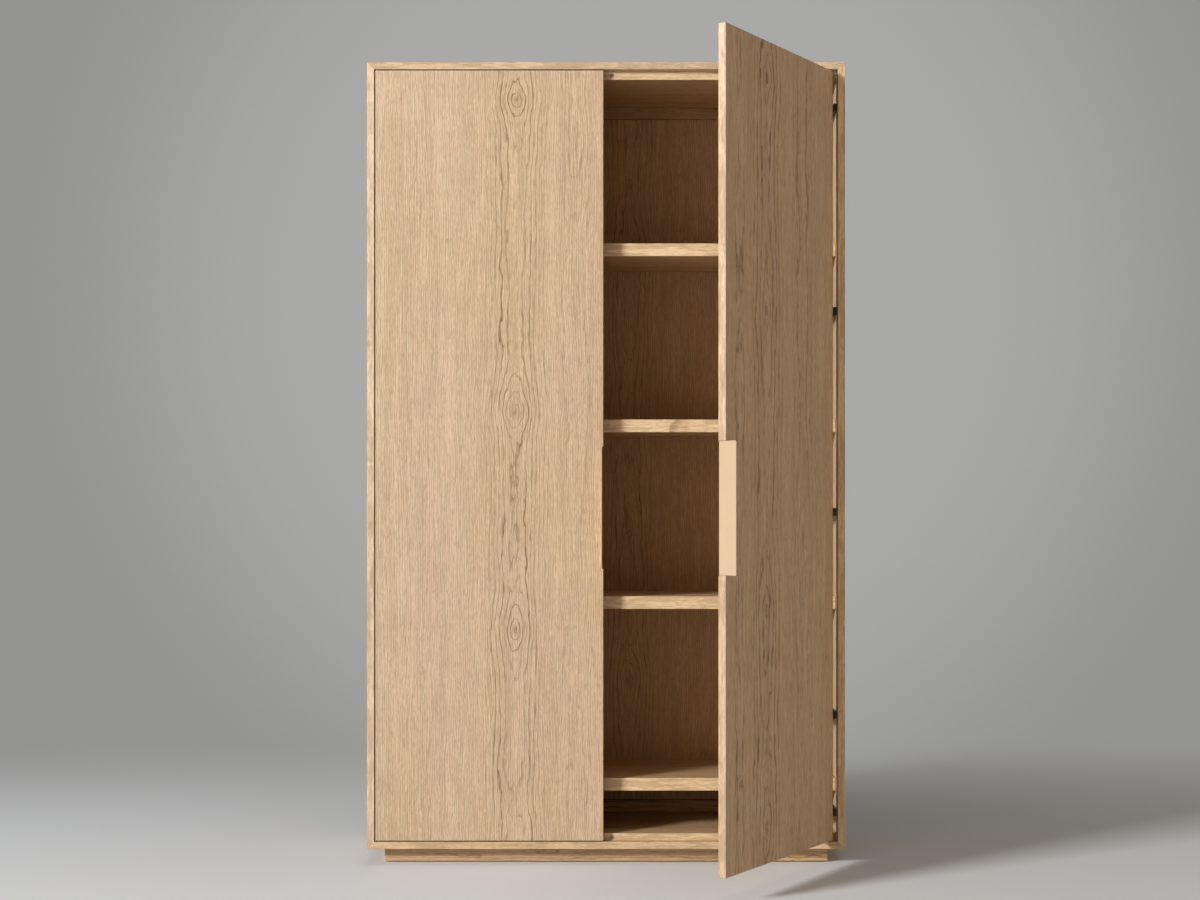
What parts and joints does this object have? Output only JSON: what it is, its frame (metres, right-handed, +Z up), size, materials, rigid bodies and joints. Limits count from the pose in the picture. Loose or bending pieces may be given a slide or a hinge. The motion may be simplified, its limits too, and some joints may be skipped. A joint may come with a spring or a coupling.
{
  "type": "pantry cabinet",
  "caption": "Tall freestanding oak pantry cabinet with mitred case, inset double doors on concealed hinges, flat edge pulls, full-width shelves and recessed plinth.",
  "frame": {"origin": "on the floor under the middle of the cabinet, at the underside of the middle glide", "axes": "+X to the right seen from the front, +Y to the back, +Z up"},
  "size_m": [1.2, 0.89, 2.015],
  "materials": {
    "oak_case": "matt lacquered oak veneer",
    "oak_door": "matt lacquered oak veneer",
    "plain_timber": "planed",
    "satin_brass": "satin champagne brass",
    "hinge_steel": "dark plated",
    "fastener_steel": "zinc plated",
    "catch_steel": "nickel plated",
    "glide_plastic": "matte"
  },
  "bodies": {
    "case": {"back_bottom_cleat": "oak_case", "back_panel": "oak_case", "back_top_cleat": "oak_case", "bottom_panel": "oak_case", "catch_magnets": "catch_steel", "deck_panel": "oak_case", "floor_glides": "glide_plastic", "inner_top_panel": "oak_case", "left_arm_pins": "fastener_steel", "left_hinge_arms": "hinge_steel", "left_hinge_plates": "hinge_steel", "left_plate_screws": "fastener_steel", "left_side_panel": "oak_case", "mitre_splines": "plain_timber", "plinth_back": "oak_case", "plinth_corner_blocks": "plain_timber", "plinth_front": "oak_case", "plinth_left": "oak_case", "plinth_right": "oak_case", "plinth_stretcher": "plain_timber", "right_arm_pins": "fastener_steel", "right_hinge_arms": "hinge_steel", "right_hinge_plates": "hinge_steel", "right_plate_screws": "fastener_steel", "right_side_panel": "oak_case", "shelf_1": "oak_case", "shelf_2": "oak_case", "shelf_3": "oak_case", "shelf_4": "oak_case", "shelf_pins": "fastener_steel", "top_panel": "oak_case"},
    "left_outer_links": {"left_outer_links": "hinge_steel"},
    "left_inner_links": {"left_inner_links": "hinge_steel"},
    "left_door": {"left_cup_pins": "fastener_steel", "left_cup_screws": "fastener_steel", "left_door_panel": "oak_door", "left_hinge_cups": "hinge_steel", "left_pull": "satin_brass", "left_pull_studs": "fastener_steel", "left_strike_plates": "catch_steel"},
    "right_outer_links": {"right_outer_links": "hinge_steel"},
    "right_inner_links": {"right_inner_links": "hinge_steel"},
    "right_door": {"right_cup_pins": "fastener_steel", "right_cup_screws": "fastener_steel", "right_door_panel": "oak_door", "right_hinge_cups": "hinge_steel", "right_pull": "satin_brass", "right_pull_studs": "fastener_steel", "right_strike_plates": "catch_steel"}
  },
  "joints": [
    {"name": "left_outer_link_swing", "type": "hinge", "parent": "case", "child": "left_outer_links", "pos_m": [-0.5327, -0.1577, 0.886], "axis": [0, 0, 1], "range_deg": [0, 44.65]},
    {"name": "left_door_swing", "type": "hinge", "parent": "left_outer_links", "child": "left_door", "pos_m": [-0.5657, -0.1845, 0.886], "axis": [0, 0, -1], "range_deg": [0, 139.65]},
    {"name": "left_inner_link_swing", "type": "hinge", "parent": "case", "child": "left_inner_links", "pos_m": [-0.5205, -0.1633, 0.886], "axis": [0, 0, 1], "range_deg": [0, 42.18]},
    {"name": "right_outer_link_swing", "type": "hinge", "parent": "case", "child": "right_outer_links", "pos_m": [0.5327, -0.1577, 0.886], "axis": [0, 0, -1], "range_deg": [-27.35, 17.3]},
    {"name": "right_door_swing", "type": "hinge", "parent": "right_outer_links", "child": "right_door", "pos_m": [0.5497, -0.19667, 0.886], "axis": [0, 0, 1], "range_deg": [-85.55, 54.1]},
    {"name": "right_inner_link_swing", "type": "hinge", "parent": "case", "child": "right_inner_links", "pos_m": [0.5205, -0.1633, 0.886], "axis": [0, 0, -1], "range_deg": [-25.84, 16.34]}
  ],
  "couplings": [
    {"joint": "left_outer_link_swing", "follows": "left_door_swing", "ratio": 0.31973},
    {"joint": "left_inner_link_swing", "follows": "left_door_swing", "ratio": 0.30204},
    {"joint": "right_outer_link_swing", "follows": "right_door_swing", "ratio": 0.31973},
    {"joint": "right_inner_link_swing", "follows": "right_door_swing", "ratio": 0.30204}
  ]
}
